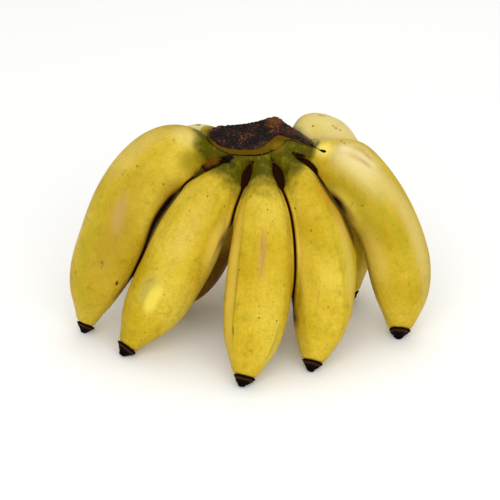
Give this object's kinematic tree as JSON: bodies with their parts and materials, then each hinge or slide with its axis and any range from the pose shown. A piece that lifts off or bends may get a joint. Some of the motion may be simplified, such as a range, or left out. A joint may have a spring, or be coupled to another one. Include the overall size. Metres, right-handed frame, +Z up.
{
  "type": "hand of apple bananas",
  "caption": "Hand of short, plump yellow bananas in two rows on one green crown, standing on its dried flower ends with the dark cut face up.",
  "frame": {"origin": "on the table, at the middle of the hand's bounding box", "axes": "+Z up from the flower ends to the crown, +X to the hand's right as seen from its front row, the front row towards -Y"},
  "size_m": [0.1848, 0.132, 0.1055],
  "materials": {
    "skin": "ripe waxy banana skin, yellow with green necks, light freckles and bruises, satin",
    "crown": "green crown cushion with a tan rim, satin",
    "dried_cut": "dark, dried, grainy cut face, matte",
    "dried_end": "black-brown dried flower end, matte"
  },
  "bodies": {
    "root": {"crown": "crown", "crown_cut": "dried_cut", "banana_front_1": "skin", "banana_front_2": "skin", "banana_front_3": "skin", "banana_front_4": "skin", "banana_front_5": "skin", "banana_back_1": "skin", "banana_back_2": "skin", "banana_back_3": "skin", "banana_back_4": "skin", "tip_front_1": "dried_end", "tip_front_2": "dried_end", "tip_front_3": "dried_end", "tip_front_4": "dried_end", "tip_front_5": "dried_end", "tip_back_1": "dried_end", "tip_back_2": "dried_end", "tip_back_3": "dried_end", "tip_back_4": "dried_end"}
  },
  "joints": []
}
